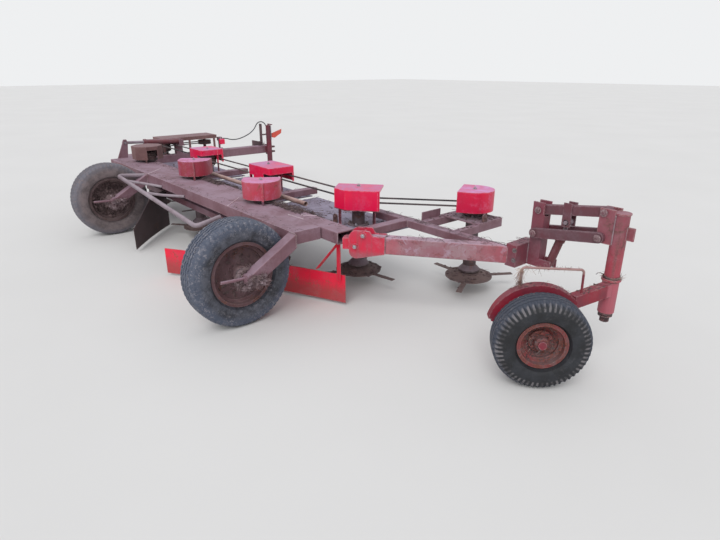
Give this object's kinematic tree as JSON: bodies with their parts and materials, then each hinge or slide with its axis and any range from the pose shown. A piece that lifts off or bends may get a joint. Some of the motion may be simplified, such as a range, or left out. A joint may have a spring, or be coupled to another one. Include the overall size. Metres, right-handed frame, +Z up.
{
  "type": "disc mower",
  "caption": "Trailed mower with a zigzag of belt-driven blade discs under a low frame, a rocking axle with two tyred wheels, a castor wheel on parallel links and an offset drawbar.",
  "frame": {"origin": "on the ground under the middle of the whole machine", "axes": "+X to the machine's right, +Y forward along the drawbar, +Z up"},
  "size_m": [6.58, 3.174, 0.956],
  "materials": {
    "tyre_rubber": "dry and dusty",
    "belt_rubber": "matt",
    "hose_rubber": "satin",
    "red_paint": "faded gloss",
    "rusty_rim": "rusty",
    "worn_steel": "rusty and worn",
    "bare_steel": "dull",
    "rusty_steel": "rusty",
    "oxide_paint": "faded oxide"
  },
  "bodies": {
    "frame": {"arm_bracket": "red_paint", "axle_hinge_pins": "bare_steel", "castor_post": "oxide_paint", "cover_a3": "rusty_steel", "cross_members": "oxide_paint", "deck_pipe": "bare_steel", "deck_sheets": "rusty_steel", "drawbar": "oxide_paint", "drive_belts": "belt_rubber", "drive_cover": "rusty_steel", "drive_shaft": "bare_steel", "front_rail": "oxide_paint", "gearbox": "rusty_steel", "hat_b1": "red_paint", "hat_c1": "red_paint", "hitch_clevis": "oxide_paint", "hitch_hose": "hose_rubber", "hose_coupler": "bare_steel", "hose_post": "oxide_paint", "jack_tube": "oxide_paint", "left_side_member": "oxide_paint", "left_windrow_board": "rusty_steel", "lower_rear_rail": "rusty_steel", "middle_hats": "red_paint", "rear_hats": "red_paint", "rear_rail": "oxide_paint", "right_windrow_board": "red_paint", "rotor_outrigger": "oxide_paint", "slanting_arm": "oxide_paint", "spindle_housings": "oxide_paint"},
    "axle": {"axle_beam": "oxide_paint", "axle_hinge_lugs": "bare_steel", "wheel_arms": "oxide_paint", "lift_lever": "oxide_paint", "rear_guard": "bare_steel"},
    "right_wheel": {"right_tyre": "tyre_rubber", "right_rim": "rusty_rim"},
    "left_wheel": {"left_tyre": "tyre_rubber", "left_rim": "rusty_rim"},
    "lift_barrel": {"lift_ram_barrel": "oxide_paint"},
    "lift_rod": {"lift_ram_rod": "bare_steel"},
    "lower_links": {"lower_links": "oxide_paint"},
    "upper_link": {"upper_link": "oxide_paint"},
    "kingpin": {"kingpin_tube": "oxide_paint"},
    "height_barrel": {"height_ram_barrel": "oxide_paint"},
    "height_rod": {"height_ram_rod": "bare_steel"},
    "castor_frame": {"castor_arm": "oxide_paint"},
    "castor_wheel": {"castor_tyre": "tyre_rubber", "castor_rim": "rusty_rim"},
    "jack": {"jack_leg": "bare_steel"},
    "rotor_c1": {"rotor_c1": "worn_steel"},
    "rotor_b1": {"rotor_b1": "worn_steel"},
    "rotor_b2": {"rotor_b2": "worn_steel"},
    "rotor_b3": {"rotor_b3": "worn_steel"},
    "rotor_b4": {"rotor_b4": "worn_steel"},
    "rotor_a1": {"rotor_a1": "worn_steel"},
    "rotor_a2": {"rotor_a2": "worn_steel"},
    "rotor_a3": {"rotor_a3": "worn_steel"}
  },
  "joints": [
    {"name": "axle_rock", "type": "hinge", "parent": "frame", "child": "axle", "pos_m": [1.62675, -0.635, 0.505], "axis": [1, 0, 0], "range_deg": [-3, 25]},
    {"name": "right_wheel_spin", "type": "hinge", "parent": "axle", "child": "right_wheel", "pos_m": [1.25175, -1.207, 0.38], "axis": [1, 0, 0], "continuous": true},
    {"name": "left_wheel_spin", "type": "hinge", "parent": "axle", "child": "left_wheel", "pos_m": [-1.62325, -1.207, 0.38], "axis": [1, 0, 0], "continuous": true},
    {"name": "lift_ram_swing", "type": "hinge", "parent": "frame", "child": "lift_barrel", "pos_m": [-2.71525, 0.067, 0.782], "axis": [1, 0, 0], "range_deg": [-0.32, 2.52]},
    {"name": "lift_ram_stroke", "type": "slide", "parent": "lift_barrel", "child": "lift_rod", "axis": [0, -0.999, 0.0458], "range_m": [-0.01586, 0.1307]},
    {"name": "castor_links", "type": "hinge", "parent": "frame", "child": "lower_links", "pos_m": [2.65175, 0.237, 0.717], "axis": [0, 1, 0], "range_deg": [-20, 12]},
    {"name": "upper_link_swing", "type": "hinge", "parent": "frame", "child": "upper_link", "pos_m": [2.65175, 0.237, 0.862], "axis": [0, 1, 0], "range_deg": [-20.1, 12.1]},
    {"name": "kingpin_level", "type": "hinge", "parent": "lower_links", "child": "kingpin", "pos_m": [3.06675, 0.237, 0.782], "axis": [0, 1, 0], "range_deg": [-12.1, 20.1]},
    {"name": "height_ram_swing", "type": "hinge", "parent": "frame", "child": "height_barrel", "pos_m": [2.74875, 0.237, 0.52], "axis": [0, 1, 0], "range_deg": [-1.64, 0.99]},
    {"name": "height_ram_stroke", "type": "slide", "parent": "height_barrel", "child": "height_rod", "axis": [0.2891, 0, 0.9573], "range_m": [-0.03977, 0.06615]},
    {"name": "castor_swivel", "type": "hinge", "parent": "kingpin", "child": "castor_frame", "pos_m": [3.15275, 0.237, 0.526], "axis": [0, 0, 1], "range_deg": [-30, 235]},
    {"name": "castor_wheel_spin", "type": "hinge", "parent": "castor_frame", "child": "castor_wheel", "pos_m": [3.04951, -0.2905, 0.272], "axis": [0.7071, -0.7071, 0], "continuous": true},
    {"name": "rotor_c1_spin", "type": "hinge", "parent": "frame", "child": "rotor_c1", "pos_m": [1.89675, 0.517, 0.112], "axis": [0, 0, 1], "continuous": true},
    {"name": "rotor_b1_spin", "type": "hinge", "parent": "frame", "child": "rotor_b1", "pos_m": [1.20675, -0.078, 0.112], "axis": [0, 0, 1], "continuous": true},
    {"name": "rotor_b2_spin", "type": "hinge", "parent": "frame", "child": "rotor_b2", "pos_m": [-0.17325, -0.078, 0.112], "axis": [0, 0, 1], "continuous": true},
    {"name": "rotor_b3_spin", "type": "hinge", "parent": "frame", "child": "rotor_b3", "pos_m": [-1.55325, -0.078, 0.112], "axis": [0, 0, 1], "continuous": true},
    {"name": "rotor_b4_spin", "type": "hinge", "parent": "frame", "child": "rotor_b4", "pos_m": [-2.93325, -0.078, 0.112], "axis": [0, 0, 1], "continuous": true},
    {"name": "rotor_a1_spin", "type": "hinge", "parent": "frame", "child": "rotor_a1", "pos_m": [0.51675, -0.533, 0.112], "axis": [0, 0, 1], "continuous": true},
    {"name": "rotor_a2_spin", "type": "hinge", "parent": "frame", "child": "rotor_a2", "pos_m": [-0.86325, -0.533, 0.112], "axis": [0, 0, 1], "continuous": true},
    {"name": "rotor_a3_spin", "type": "hinge", "parent": "frame", "child": "rotor_a3", "pos_m": [-2.24325, -0.533, 0.112], "axis": [0, 0, 1], "continuous": true},
    {"name": "jack_slide", "type": "slide", "parent": "frame", "child": "jack", "axis": [0, 0, 1], "range_m": [0, 0.17]}
  ],
  "couplings": [
    {"joint": "lift_ram_swing", "follows": "axle_rock", "ratio": 0.099808},
    {"joint": "lift_ram_stroke", "follows": "axle_rock", "m_per_rad": 0.29908},
    {"joint": "upper_link_swing", "follows": "castor_links", "ratio": 1},
    {"joint": "kingpin_level", "follows": "castor_links", "ratio": -1},
    {"joint": "height_ram_swing", "follows": "castor_links", "ratio": 0.081208},
    {"joint": "height_ram_stroke", "follows": "castor_links", "m_per_rad": -0.18894},
    {"joint": "rotor_b1_spin", "follows": "rotor_c1_spin", "ratio": 1},
    {"joint": "rotor_b2_spin", "follows": "rotor_c1_spin", "ratio": 1},
    {"joint": "rotor_b3_spin", "follows": "rotor_c1_spin", "ratio": 1},
    {"joint": "rotor_b4_spin", "follows": "rotor_c1_spin", "ratio": 1},
    {"joint": "rotor_a1_spin", "follows": "rotor_c1_spin", "ratio": 1},
    {"joint": "rotor_a2_spin", "follows": "rotor_c1_spin", "ratio": 1},
    {"joint": "rotor_a3_spin", "follows": "rotor_c1_spin", "ratio": 1}
  ]
}
